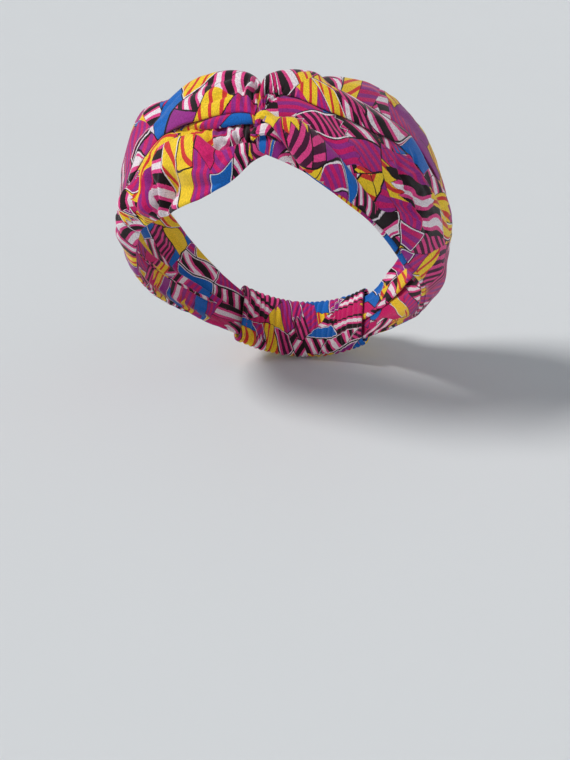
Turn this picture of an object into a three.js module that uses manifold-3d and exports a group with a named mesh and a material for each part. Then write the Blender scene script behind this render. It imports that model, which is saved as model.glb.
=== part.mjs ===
// A knotted turban headband of printed woven cloth, in the pose in which a head wears it.
//
// Two wide cloth loops hook through each other over the hairline. The right loop's front strand
// narrows to a neck, dives through the left loop and comes back behind it as the back strand.
// The left loop makes a flat U turn underneath. Both loops run round the head behind the ears
// and end in the mouths of a narrow ruched casing at the nape.
//
// Millimetres and degrees. +Z is up and the knot faces -Y. The origin is the centre of the head
// space. "Right" and "left" are as seen by someone who looks at the knot: right is +X.
//
// Cloth is described by three band coordinates:
//   angle   degrees round the head, 0 at the knot and 180 at the nape
//   across  millimetres over the head, plus towards the crown and minus towards the face
//   height  millimetres out from the head

import * as THREE from "three";
import Module from "manifold-3d";

// ---- driving dimensions ----

const HEAD_HALF_WIDTH = 77;
const HEAD_HALF_LENGTH = 94;
const HEAD_ROUNDING = 79; // half height of the rounded head form, square to the loop's plane
const WEARING_TILT = 56; // how far the loop's plane tips up at the front
const NAPE_NARROWING = 0.2; // share of the half width that the head loses towards the nape
const NARROWING_FROM = 72; // angle at which it starts
const NAPE_DRIFT = 4; // how far to the right of the knot the back of the band sits
const DRIFT_FROM = 53;
const DRIFT_TO = 127;

const CLOTH_WALL = 1.8; // the wide cloth is a doubled, pressed tube
const LONGEST_STEP = 8; // most degrees between two sections of a sheet
const CORD_SIDES = 10; // sides of the gathered bundles at the knot

const CASING_FROM = 145; // angle of the casing's mouth, the same on both sides
const CASING_WALL = 1.5;
const CASING_HALF_WIDTH = 18;
const CASING_HALF_DEPTH = 4.2;
const CASING_MIDDLE_HEIGHT = 2.6;
const CASING_SIDES = 12;
const CASING_SQUARENESS = 0.6; // power of its edge curve: 1 is an ellipse, 0 a box
const CASING_FULLNESS = 0.8; // the same for its faces
const RUCHES = 11;
const RUCHE_DEPTH = 0.7;
const STATIONS_PER_RUCHE = 4;
const LINING_STATIONS = 14;
const MOUTH_OVERRUN = 0.01; // share of the casing by which its hollow runs past each mouth

const MM_PER_DEGREE = THREE.MathUtils.degToRad(HEAD_HALF_WIDTH);

// ---- fold tables ----
// A fold's row holds how far across it lies and how high, at each of the table's angles. The
// folds are in order from the edge on the crown side to the edge on the face side.

const RIGHT_FRONT = {
  angle: [-2.6, -2, -1.4, 1, 4, 8, 13, 19, 33, 41, 50, 62, 76, 92, 130, 150],
  folds: {
    topEdge: {
      across: [-11.4, -4, 11.5, 16, 19.5, 22, 22.5, 14.5, 12.5, 12, 13, 7, 6, 8, 15, 13],
      height: [6.2, 7.4, 7.6, 7, 6, 5.4, 5.2, 5.4, 5.4, 5.4, 5.4, 5.4, 5.4, 5.4, 4.4, 3.8],
    },
    pleatCrest: {
      across: [-11.8, -6, 6.5, 11.5, 14, 15, 14.5, 9.5, 7, 6, 4, 0, -2, -2, 8, 9],
      height: [6.4, 8.2, 9.4, 10.2, 10.2, 10, 10, 9.8, 9, 8.2, 7.6, 7.6, 7.8, 7.6, 5.2, 4.2],
    },
    pleatCrease: {
      across: [-12.4, -8, 1.5, 5.5, 5.5, 4.5, 4, 2.5, -1, 0, -3, -6, -8, -8, 3, 5],
      height: [6.3, 8, 7.8, 7.6, 7, 6.3, 6.2, 6.2, 6.4, 7, 7.4, 7.8, 8, 7.8, 5.2, 4.2],
    },
    panelCrest: {
      across: [-13, -10, -3, 1.5, 2.5, 1.5, -1, -4, -11, -12, -13, -15, -17, -16, -2, 0],
      height: [6.4, 8.6, 9.2, 9.8, 9.4, 8.4, 8.2, 8.2, 8.2, 8.2, 8, 8.2, 8.4, 8, 5.2, 4.2],
    },
    flapCrease: {
      across: [-13.6, -11.6, -7, -2, 0, -1.5, -8.5, -15, -28, -31, -26, -26, -27, -25, -7, -4],
      height: [6.3, 8.2, 8, 7.8, 7.2, 6.2, 5.6, 5.4, 5.2, 5.8, 7.2, 7.6, 7.6, 7.4, 5, 4.2],
    },
    flapCrest: {
      across: [-14.4, -13.4, -11, -6.5, -4.5, -6, -13, -20, -31, -34, -33, -34.5, -33, -31, -12, -8],
      height: [6.4, 9, 10.2, 11, 11, 10.8, 10.4, 9.8, 7.8, 6.4, 6, 6.2, 6, 5.6, 4.8, 4.2],
    },
    flapEdge: {
      across: [
        -15.2, -15.6, -15, -13.5, -15.5, -19.5, -24.5, -28,
        -34.5, -36, -37.5, -39.5, -37, -34, -16, -11,
      ],
      height: [6.2, 8.8, 9.8, 10.2, 10, 9.4, 8.2, 7.2, 5.4, 4.8, 4.4, 4.4, 4.2, 4.2, 4, 3.8],
    },
    flapFoot: {
      across: [
        -16, -17.2, -17.5, -16.5, -18, -21.4, -26, -29.5,
        -35.2, -37, -38.7, -40.7, -38, -35, -17.5, -12.3,
      ],
      height: [6, 8.2, 8.6, 8.4, 8, 7.2, 6.4, 5.6, 4.4, 4, 3.8, 3.8, 3.8, 3.8, 3.8, 3.6],
    },
    lowerEdge: {
      across: [-16.8, -19, -21.5, -23.6, -24.8, -26, -27.8, -31, -36, -37.5, -40, -42, -39, -36, -19, -13.5],
      height: [5.8, 7.6, 8, 8, 7.6, 6.4, 5, 4, 3.2, 3, 3, 3, 3, 3, 3.4, 3.4],
    },
  },
};

const RIGHT_BACK = {
  angle: [6, 12, 18, 35, 60, 76, 112, 143, 150],
  folds: {
    topEdge: {
      across: [7, 17, 26, 33.5, 37.5, 37, 27, 13.5, 13],
      height: [2.4, 3, 3.2, 3.4, 3.4, 3.4, 3.2, 3, 3],
    },
    crest: {
      across: [4, 12, 20, 28, 30, 29, 21, 11.5, 11],
      height: [2.6, 3.2, 5, 6.4, 7, 7, 5.6, 3, 3],
    },
    tuck: {
      across: [2, 8, 13, 15, 12, 9, 12, 9, 9],
      height: [2.6, 2.8, 3, 3.2, 3.2, 3.2, 2.9, 2.4, 2.4],
    },
    hiddenEdge: {
      across: [-1, 2, 5, 6, 3, 0, 3, -2, -2],
      height: [2.4, 2.4, 2.4, 2.6, 2.6, 2.6, 2.5, 2.4, 2.4],
    },
  },
};

const LEFT_UPPER = {
  angle: [2.9, 4.2, 8, 20, 27, 34, 41, 48, 56, 66, 80, 132, 150],
  folds: {
    topEdge: {
      across: [11.5, 15, 19, 26, 26, 21.5, 24, 29, 29, 28, 28, 18, 13],
      height: [5.4, 4.8, 4.2, 4, 4, 4, 4.6, 5.6, 4.6, 4, 4, 3.4, 3.4],
    },
    rollCrest: {
      across: [7, 9, 11.5, 15, 14.5, 11.5, 14, 17, 15, 11, 9, 8, 8],
      height: [7.6, 9.4, 10, 10.4, 10, 9.4, 11, 12.6, 9.8, 7.6, 6.2, 4.8, 4.2],
    },
    rollBrow: {
      across: [1.5, 1.5, 2, 2.5, 3, 3, 4, 3, -2, -6, -5, 3, 4],
      height: [7.6, 9, 9.2, 9.2, 9, 8.6, 9.4, 10, 9, 7.6, 6.4, 4.8, 4.2],
    },
    rollCrease: {
      across: [-3.5, -4.4, -3.2, -3.2, -2.2, -1.2, -0.2, -4.6, -10.6, -14.6, -12.6, -0.6, 0.4],
      height: [5.8, 5.8, 5.2, 5, 5, 5, 5.4, 6, 6.2, 6, 5.4, 4.4, 4],
    },
    lip: {
      across: [-7.6, -8.4, -7, -6, -4, -2.4, -1.4, -6, -12, -16, -14, -1.6, -0.4],
      height: [6.2, 7.2, 7.4, 6.6, 5, 4.4, 4.6, 5, 5.4, 5.2, 5, 4.4, 4],
    },
    lipEdge: {
      across: [-9.2, -11.2, -11.4, -9, -5.6, -3.4, -2.6, -7.4, -13.4, -17.4, -15.4, -2.6, -1.2],
      height: [4.8, 5, 4.8, 4.4, 4, 3.8, 3.8, 4, 4.2, 4.2, 4.2, 4, 4],
    },
  },
};

const LEFT_LOWER = {
  angle: [-1.4, 2, 5, 8, 13, 20, 34, 41, 46, 51, 57, 64, 75, 130, 150],
  folds: {
    hiddenEdge: {
      across: [-20.4, -19.4, -17.6, -9, 1, 2, 4, 4, 2, -2, -6, -9, -9, 2, 2],
      height: [3.4, 3.4, 3, 2.6, 2.4, 2.4, 2.4, 2.6, 2.6, 2.8, 3, 3.2, 3, 2.6, 2.6],
    },
    upperSlope: {
      across: [-20.8, -20, -18.4, -11.6, -9, -9.5, -6, -6, -10, -15, -18, -20, -19, -3, -2],
      height: [4, 3.9, 3.6, 3, 3.4, 4.6, 7, 7, 7, 8.4, 9.6, 8.8, 6, 4.6, 3.6],
    },
    hollow: {
      across: [-21.1, -20.6, -19.4, -15.4, -13.5, -13, -10, -11, -14, -18, -22, -24, -23, -6, -4],
      height: [4.4, 4.6, 4.4, 3.4, 3.2, 3.6, 7, 8, 7.6, 10.4, 12.6, 10.8, 6.2, 4.6, 3.6],
    },
    lowerRoll: {
      across: [-21.5, -22, -22.4, -22.8, -23, -19, -14, -17, -20, -22, -25, -27, -26, -9, -6],
      height: [4.8, 5.8, 7.8, 8.8, 9.2, 9.2, 8.6, 9.2, 6.8, 11, 13.4, 11.4, 6.2, 4.4, 3.6],
    },
    ridge: {
      across: [-21.9, -23.2, -24.8, -26.3, -27.5, -25, -19, -23, -25, -26, -28, -29.5, -29, -12, -8],
      height: [4.6, 5.6, 6.8, 7, 7.2, 7.4, 7.4, 8.8, 7.4, 8.4, 12, 10.4, 6.2, 4.2, 3.6],
    },
    dip: {
      across: [-22.2, -24.2, -26.6, -29, -31, -31, -28, -29, -30, -30, -30.5, -31.5, -32, -15, -10],
      height: [4.4, 5, 5.4, 5.2, 5, 4.2, 3, 4.4, 8.2, 4.2, 8.6, 7.6, 5, 3.8, 3.6],
    },
    lowerEdge: {
      across: [-22.6, -25, -28, -31, -34, -36.5, -37, -36, -34.5, -33, -32.5, -33.5, -35, -18, -13],
      height: [4.2, 4.6, 4.8, 4.4, 4.2, 4, 3.8, 3.4, 3, 2.8, 4, 4, 3.4, 3.2, 3.4],
    },
  },
};

// ---- bundle tables ----
// Gathered cloth at the knot, pressed into a cord. A row is a section: its centre (along is
// millimetres to the right of the knot), its half width and its half thickness.

const RIGHT_NECK = [
  { along: 8, across: -6, height: 8.6, halfWidth: 2.2, halfThickness: 0.8 },
  { along: 3, across: -8, height: 8.4, halfWidth: 2.6, halfThickness: 1 },
  { along: 0, across: -11, height: 8.4, halfWidth: 2.4, halfThickness: 1.3 },
  { along: -1.6, across: -13.4, height: 7.2, halfWidth: 2.2, halfThickness: 1.3 },
  { along: -2.4, across: -13.6, height: 4.2, halfWidth: 2.4, halfThickness: 1.2 },
  { along: -1.4, across: -11.5, height: 1.5, halfWidth: 2.8, halfThickness: 0.9 },
  { along: 2.5, across: -6.5, height: 1, halfWidth: 3.8, halfThickness: 0.8 },
  { along: 7, across: -1, height: 1.1, halfWidth: 4.6, halfThickness: 0.8 },
  { along: 12, across: 3, height: 1.5, halfWidth: 4.6, halfThickness: 0.8 },
];

const LEFT_TURN = [
  { along: -9, across: 3, height: 6.8, halfWidth: 3.6, halfThickness: 1.2 },
  { along: -4, across: 2, height: 4.4, halfWidth: 4, halfThickness: 1.1 },
  { along: 1, across: 1, height: 3.8, halfWidth: 4, halfThickness: 1.1 },
  { along: 5, across: -2.5, height: 3.8, halfWidth: 3.6, halfThickness: 1.1 },
  { along: 6.4, across: -8, height: 3.8, halfWidth: 3.4, halfThickness: 1.1 },
  { along: 5, across: -14.6, height: 3.7, halfWidth: 3, halfThickness: 1.1 },
  { along: 1.6, across: -19.8, height: 3.6, halfWidth: 2.2, halfThickness: 1.1 },
  { along: -3, across: -22.4, height: 4, halfWidth: 2, halfThickness: 1.1 },
  { along: -7.5, across: -23, height: 5.8, halfWidth: 1.6, halfThickness: 0.9 },
];

// ---- band surface ----

// How far a change between two angles has gone, eased by the cosine of the angle round the head.
function eased(angle, from, to) {
  const rearward = (degrees) => -Math.cos(THREE.MathUtils.degToRad(degrees));
  return THREE.MathUtils.smoothstep(rearward(angle), rearward(from), rearward(to));
}

// The point at band coordinates.
function bandPoint(angle, across, height) {
  const turn = THREE.MathUtils.degToRad(angle);
  const lift = across / HEAD_ROUNDING;
  const halfWidth = HEAD_HALF_WIDTH * (1 - NAPE_NARROWING * eased(angle, NARROWING_FROM, 180));
  const point = new THREE.Vector3(
    halfWidth * Math.sin(turn) * Math.cos(lift),
    -HEAD_HALF_LENGTH * Math.cos(turn) * Math.cos(lift),
    HEAD_ROUNDING * Math.sin(lift),
  );
  const outward = new THREE.Vector3(
    point.x / halfWidth ** 2,
    point.y / HEAD_HALF_LENGTH ** 2,
    point.z / HEAD_ROUNDING ** 2,
  );
  point.addScaledVector(outward.normalize(), height);
  point.x += NAPE_DRIFT * eased(angle, DRIFT_FROM, DRIFT_TO);
  return point.applyAxisAngle(new THREE.Vector3(1, 0, 0), THREE.MathUtils.degToRad(-WEARING_TILT));
}

// A smooth curve through the values ys at the places xs. It never swings past a value,
// so folds that lie in order stay in order.
function smoothCurve(xs, ys) {
  const last = xs.length - 1;
  const steps = xs.slice(1).map((x, i) => x - xs[i]);
  const rises = steps.map((step, i) => (ys[i + 1] - ys[i]) / step);
  const slopes = xs.map((_, i) => {
    if (i === 0) return rises[0];
    if (i === last) return rises[last - 1];
    if (rises[i - 1] * rises[i] <= 0) return 0;
    const before = 2 * steps[i] + steps[i - 1];
    const after = steps[i] + 2 * steps[i - 1];
    return (before + after) / (before / rises[i - 1] + after / rises[i]);
  });
  return (x) => {
    let i = 0;
    while (i < last - 1 && x > xs[i + 1]) i += 1;
    const t = THREE.MathUtils.clamp((x - xs[i]) / steps[i], 0, 1);
    const start = (1 + 2 * t) * (1 - t) ** 2 * ys[i] + t * (1 - t) ** 2 * steps[i] * slopes[i];
    const end = t * t * (3 - 2 * t) * ys[i + 1] + t * t * (t - 1) * steps[i] * slopes[i + 1];
    return start + end;
  };
}

// ---- solids ----

const manifold = await Module();
manifold.setup();

// A manifold solid of these points and triangles, turned to face outwards.
function solidFrom(points, triangles) {
  const vertProperties = new Float32Array(points.flatMap((point) => point.toArray()));
  const build = (corners) => {
    const mesh = new manifold.Mesh({ numProp: 3, vertProperties, triVerts: new Uint32Array(corners) });
    return new manifold.Manifold(mesh);
  };
  const solid = build(triangles);
  return solid.volume() > 0 ? solid : build(triangles.reverse());
}

// Numbers the points of a grid whose rows all have the same length.
function gridIndex(rows) {
  const width = rows[0].length;
  return (row, column) => row * width + column;
}

// A closed solid between an outer and an inner grid of points.
function shellSolid(outer, inner) {
  const rows = outer.length;
  const columns = outer[0].length;
  const at = gridIndex(outer);
  const under = rows * columns;
  const triangles = [];
  const quad = (a, b, c, d) => triangles.push(a, b, c, a, c, d);
  for (let r = 0; r < rows - 1; r += 1) {
    for (let c = 0; c < columns - 1; c += 1) {
      const [a, b, d, e] = [at(r, c), at(r, c + 1), at(r + 1, c + 1), at(r + 1, c)];
      quad(a, b, d, e);
      quad(under + a, under + e, under + d, under + b);
    }
  }
  const rim = [];
  for (let c = 0; c < columns - 1; c += 1) rim.push(at(0, c));
  for (let r = 0; r < rows - 1; r += 1) rim.push(at(r, columns - 1));
  for (let c = columns - 1; c > 0; c -= 1) rim.push(at(rows - 1, c));
  for (let r = rows - 1; r > 0; r -= 1) rim.push(at(r, 0));
  rim.forEach((here, i) => {
    const next = rim[(i + 1) % rim.length];
    quad(next, here, under + here, under + next);
  });
  return solidFrom([...outer.flat(), ...inner.flat()], triangles);
}

// A closed solid round a stack of rings, capped by a fan at each end.
function cordSolid(rings) {
  const around = rings[0].length;
  const last = rings.length - 1;
  const at = gridIndex(rings);
  const triangles = [];
  for (let r = 0; r < last; r += 1) {
    for (let k = 0; k < around; k += 1) {
      const next = (k + 1) % around;
      triangles.push(at(r, k), at(r, next), at(r + 1, next));
      triangles.push(at(r, k), at(r + 1, next), at(r + 1, k));
    }
  }
  for (let k = 1; k < around - 1; k += 1) {
    triangles.push(at(0, 0), at(0, k + 1), at(0, k));
    triangles.push(at(last, 0), at(last, k), at(last, k + 1));
  }
  return solidFrom(rings.flat(), triangles);
}

// ---- cloth ----

// The table's own angles, with one or more between each two so that no step is too long.
function sectionAngles(table) {
  const angles = [table.angle[0]];
  table.angle.slice(1).forEach((to, i) => {
    const from = table.angle[i];
    const steps = Math.max(2, Math.ceil((to - from) / LONGEST_STEP));
    for (let step = 1; step <= steps; step += 1) angles.push(from + ((to - from) * step) / steps);
  });
  return angles;
}

// A pleated sheet from a fold table. The side is 1 for the right and -1 for the left, and
// each stretch between two folds is split into foldSteps.
function clothSheet(table, side, foldSteps) {
  const folds = Object.values(table.folds);
  const places = folds.map((_, i) => i);
  const acrossAlong = folds.map((fold) => smoothCurve(table.angle, fold.across));
  const heightAlong = folds.map((fold) => smoothCurve(table.angle, fold.height));
  const outer = [];
  const inner = [];
  for (const angle of sectionAngles(table)) {
    const across = smoothCurve(places, acrossAlong.map((curve) => curve(angle)));
    const height = smoothCurve(places, heightAlong.map((curve) => curve(angle)));
    const outerRow = [];
    const innerRow = [];
    for (let step = 0; step <= (folds.length - 1) * foldSteps; step += 1) {
      const place = step / foldSteps;
      outerRow.push(bandPoint(side * angle, across(place), height(place)));
      innerRow.push(bandPoint(side * angle, across(place), height(place) - CLOTH_WALL));
    }
    outer.push(outerRow);
    inner.push(innerRow);
  }
  return shellSolid(outer, inner);
}

// The width and thickness directions of a bundle's section. The kept axis is the band direction
// that one of them follows: "across" for the neck that dives, "height" for the flat turn.
function sectionAxes(tangent, keptAxis) {
  const width = new THREE.Vector3();
  const thickness = new THREE.Vector3();
  if (keptAxis === "across") {
    width.set(0, 1, 0).addScaledVector(tangent, -tangent.y).normalize();
    thickness.crossVectors(tangent, width);
  } else {
    thickness.set(0, 0, 1).addScaledVector(tangent, -tangent.z).normalize();
    width.crossVectors(thickness, tangent);
  }
  return { width, thickness };
}

// A bundle of gathered cloth from a bundle table.
function gatheredCord(table, keptAxis, steps) {
  const last = table.length - 1;
  const places = table.map((_, i) => i);
  const curve = (column) => smoothCurve(places, table.map((row) => row[column]));
  const [along, across, height] = ["along", "across", "height"].map(curve);
  const halfWidth = curve("halfWidth");
  const halfThickness = curve("halfThickness");
  const centre = (place) => new THREE.Vector3(along(place), across(place), height(place));
  const rings = [];
  for (let step = 0; step <= steps; step += 1) {
    const place = (step / steps) * last;
    const reach = last / steps / 4;
    const tangent = centre(Math.min(place + reach, last)).sub(centre(Math.max(place - reach, 0)));
    const axes = sectionAxes(tangent.normalize(), keptAxis);
    const ring = [];
    for (let k = 0; k < CORD_SIDES; k += 1) {
      const turn = (2 * Math.PI * k) / CORD_SIDES;
      const point = centre(place);
      point.addScaledVector(axes.width, halfWidth(place) * Math.cos(turn));
      point.addScaledVector(axes.thickness, halfThickness(place) * Math.sin(turn));
      ring.push(bandPoint(point.x / MM_PER_DEGREE, point.y, point.z));
    }
    rings.push(ring);
  }
  return cordSolid(rings);
}

// A sine or cosine made squarer by a power under 1.
function squared(wave, power) {
  return Math.sign(wave) * Math.abs(wave) ** power;
}

// A ring round the casing at a share of its length: a flat, squared ellipse that is drawn in by
// the inset and swells and shrinks with the ruches, which fade out at the mouths.
function casingRing(share, inset, rucheDepth) {
  const angle = CASING_FROM + 2 * (180 - CASING_FROM) * share;
  const fade = Math.sqrt(Math.max(Math.sin(Math.PI * share), 0));
  const swell = rucheDepth * fade * Math.sin(2 * Math.PI * RUCHES * share) - inset;
  const ring = [];
  for (let k = 0; k < CASING_SIDES; k += 1) {
    const turn = (2 * Math.PI * k) / CASING_SIDES;
    const across = (CASING_HALF_WIDTH + swell) * squared(Math.cos(turn), CASING_SQUARENESS);
    const out = (CASING_HALF_DEPTH + swell) * squared(Math.sin(turn), CASING_FULLNESS);
    ring.push(bandPoint(angle, across, CASING_MIDDLE_HEIGHT + out));
  }
  return ring;
}

// ---- pieces ----

// The flattened tube at the nape, open at both mouths and ruched between them.
function napeCasing() {
  const outside = [];
  const stations = RUCHES * STATIONS_PER_RUCHE;
  for (let i = 0; i <= stations; i += 1) outside.push(casingRing(i / stations, 0, RUCHE_DEPTH));
  const hollow = [];
  for (let i = 0; i <= LINING_STATIONS; i += 1) {
    const share = (1 + 2 * MOUTH_OVERRUN) * (i / LINING_STATIONS) - MOUTH_OVERRUN;
    hollow.push(casingRing(share, CASING_WALL, 0));
  }
  return cordSolid(outside).subtract(cordSolid(hollow));
}

// The front strand, its neck at the knot and the back strand that it turns into.
function rightLoop() {
  const front = clothSheet(RIGHT_FRONT, 1, 2);
  const back = clothSheet(RIGHT_BACK, 1, 3);
  return front.add(back).add(gatheredCord(RIGHT_NECK, "across", 20));
}

// The rolled upper strand, the lower strand and the flat turn that joins them.
function leftLoop() {
  const upper = clothSheet(LEFT_UPPER, -1, 2);
  const lower = clothSheet(LEFT_LOWER, -1, 3);
  return upper.add(lower).add(gatheredCord(LEFT_TURN, "height", 18));
}

// ---- scene graph ----

function clothMesh(name, solid, color) {
  const mesh = solid.getMesh();
  const geometry = new THREE.BufferGeometry();
  geometry.setAttribute("position", new THREE.BufferAttribute(mesh.vertProperties, mesh.numProp));
  geometry.setIndex(new THREE.BufferAttribute(mesh.triVerts, 1));
  geometry.computeVertexNormals();
  const cloth = new THREE.Mesh(geometry, new THREE.MeshStandardMaterial({ color, roughness: 0.92 }));
  cloth.name = name;
  return cloth;
}

const headband = new THREE.Group();
headband.add(clothMesh("right_loop", rightLoop(), 0xb23a7c));
headband.add(clothMesh("left_loop", leftLoop(), 0xa83f78));
headband.add(clothMesh("nape_casing", napeCasing(), 0x9c2f6e));

export default headband;
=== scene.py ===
"""A knotted turban headband of printed woven cloth, dressed in Blender over its CAD frame.

Two pleated cloth loops hook through each other over the hairline and end in a ruched casing at
the nape. Cloth is described by three band coordinates: the angle in degrees round the head
(0 at the knot, 180 at the nape, the right side plus), the millimetres across it (plus towards
the crown) and the height in millimetres out from the head.
"""

import math

import bmesh
import bpy
import numpy as np
from mathutils import Matrix, Vector


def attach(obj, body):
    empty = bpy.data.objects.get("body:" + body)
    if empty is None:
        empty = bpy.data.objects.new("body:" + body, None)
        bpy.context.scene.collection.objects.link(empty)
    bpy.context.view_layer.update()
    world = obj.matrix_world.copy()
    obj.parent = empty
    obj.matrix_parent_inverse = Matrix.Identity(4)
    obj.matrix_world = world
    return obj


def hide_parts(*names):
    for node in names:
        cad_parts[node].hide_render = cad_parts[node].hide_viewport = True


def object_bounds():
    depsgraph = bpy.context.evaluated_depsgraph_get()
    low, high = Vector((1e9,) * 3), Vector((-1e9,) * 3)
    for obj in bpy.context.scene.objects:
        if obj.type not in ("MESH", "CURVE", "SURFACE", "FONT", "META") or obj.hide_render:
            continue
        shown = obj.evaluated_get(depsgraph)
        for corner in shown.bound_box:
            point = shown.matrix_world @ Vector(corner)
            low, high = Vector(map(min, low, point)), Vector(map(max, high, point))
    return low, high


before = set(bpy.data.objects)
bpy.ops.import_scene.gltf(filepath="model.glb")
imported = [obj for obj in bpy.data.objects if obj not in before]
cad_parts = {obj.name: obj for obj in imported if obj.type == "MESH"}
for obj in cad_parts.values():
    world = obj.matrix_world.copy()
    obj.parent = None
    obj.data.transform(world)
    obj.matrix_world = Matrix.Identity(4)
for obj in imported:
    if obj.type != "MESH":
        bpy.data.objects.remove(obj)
CAD_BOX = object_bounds()

MM = 0.001
RIGHT = 1
LEFT = -1

# ---- head form and cloth, as in the solids (millimetres and degrees) ----

HEAD_HALF_WIDTH = 77
HEAD_HALF_LENGTH = 94
HEAD_ROUNDING = 79
WEARING_TILT = 56
NAPE_NARROWING = 0.2
NARROWING_FROM = 72
NAPE_DRIFT = 4
DRIFT_FROM = 53
DRIFT_TO = 127
MM_PER_DEGREE = 1.4

CLOTH_WALL = 1.8
EDGE_RADIUS = 1.5
SOFTNESS = 0.8
LINING_SHIFT = 41.0  # centimetres of print between the two faces of a flattened tube
DEGREE_AT_KNOT = math.radians(HEAD_HALF_WIDTH)  # millimetres along the band in a degree

CASING_FROM = 145
CASING_SPAN = 2 * (180 - CASING_FROM)
CASING_LENGTH = CASING_SPAN * MM_PER_DEGREE
CASING_WALL = 1.5
CASING_HALF_WIDTH = 18
CASING_HALF_DEPTH = 4.2
CASING_MIDDLE_HEIGHT = 2.6
CASING_SQUARENESS = 0.6
CASING_FULLNESS = 0.8

# ---- wrinkles ----
# Small folds on the sheets. A row holds a wrinkle's half width and its height in millimetres, less
# than 0 for a valley, and then its path as (angle, across) points.

RIGHT_FRONT_WRINKLES = [
    (2.2, 2.4, (5, -19.5), (2.6, -14.6), (-0.4, -15), (-2.4, -17)),
    (1.3, 1.3, (5.4, -22.5), (2, -19), (-1.4, -20.4)),
    (0.8, -1.5, (3.6, -17.6), (0.6, -17.4), (-2, -18.8)),
    (1.5, 1.1, (38, -21.5), (46, -18.5), (58, -10.5)),
    (1.5, 1.4, (40, -25), (50, -21.5), (62, -15)),
    (0.9, -1.1, (39, -23.2), (48, -20), (60, -12.8)),
    (1.0, -1.2, (41, -27.4), (51, -24.4), (64, -17.6)),
    (1.8, 1.2, (44, -30), (52, -28), (66, -21)),
    (1.2, 2.4, (40.5, -11), (42.3, -17), (45.4, -20.2), (49, -21.8), (53.5, -24.4), (59, -27.4)),
    (0.9, -2.4, (42.4, -10.5), (44.2, -16), (47.2, -18.7), (50.6, -20.3), (55.2, -22.8), (61, -25.6)),
    (1.0, 1.5, (46.5, -1.5), (48.5, -6), (52, -8.5), (60, -13)),
    (0.8, -1.4, (48, -1), (50.2, -5), (54, -7.4), (61, -11)),
    (0.9, 1.3, (36.6, -25), (40.5, -27.5), (44.5, -28.5), (50, -31)),
    (1.5, 1.2, (39, -16), (46, -13), (54, -6)),
    (1.8, 0.9, (16, 6), (30, 2), (40, 3.5)),
    (1.4, -0.9, (10, 14), (24, 8), (38, 8.5)),
    (2.2, 0.8, (14, -7), (24, -13), (33, -22)),
    (1.6, -0.8, (12, -3), (22, -8), (36, -14)),
    (3.2, 1.4, (58, -32), (80, -28), (104, -18)),
    (3.0, 1.2, (66, 2), (90, 1), (118, 9)),
    (2.0, -1.1, (56, -4), (76, -8), (100, -4)),
    (1.8, -1.2, (120, -15), (134, -9), (150, -5)),
    (1.6, -1.2, (112, -6), (132, 0), (150, 1)),
    (1.6, -1.1, (118, 6), (136, 6), (150, 5)),
]

RIGHT_BACK_WRINKLES = [
    (2.0, 0.8, (14, 14), (34, 24), (58, 25)),
    (1.8, 0.6, (20, 26), (44, 33), (72, 32)),
    (1.8, -0.9, (70, 22), (100, 21), (140, 9)),
    (1.6, -0.7, (96, 27), (124, 19), (150, 12)),
]

LEFT_UPPER_WRINKLES = [
    (1.0, 1.9, (4.5, 10), (4.9, 3), (4.2, -4)),
    (0.6, -2.6, (3.6, 10), (3.7, 2), (3.2, -4)),
    (0.9, 2.2, (2.7, 10), (2.5, 1), (2.2, -5)),
    (0.5, -1.8, (1.7, 8), (1.5, 1), (1.4, -5)),
    (0.8, -1.7, (6.2, 8), (6.6, 1), (5.4, -5)),
    (1.0, -1.6, (4.2, 4.8), (7.5, 3.5), (10.4, 2.6), (13, 1.2), (18, -0.8)),
    (1.6, 0.9, (6, 7.5), (10, 6.6), (14, 4.6), (22, 3)),
    (1.2, -1.1, (8, 9), (18, 10), (30, 7)),
    (1.6, 0.7, (7, 11), (16, 15), (26, 15)),
    (1.8, -1.4, (26, 14), (35, 8), (42, 3)),
    (1.4, 0.9, (30, 4), (38, 1), (46, -1)),
    (2.4, 1.2, (36, 20), (46, 8), (52, 0)),
    (2.4, -1.3, (54, 14), (64, 2), (74, -8)),
    (2.2, -1.2, (70, 18), (96, 10), (140, 6)),
    (1.8, 1.1, (84, 4), (112, 3), (150, 2)),
    (1.8, -1.1, (92, 18), (120, 14), (150, 10)),
]

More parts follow.
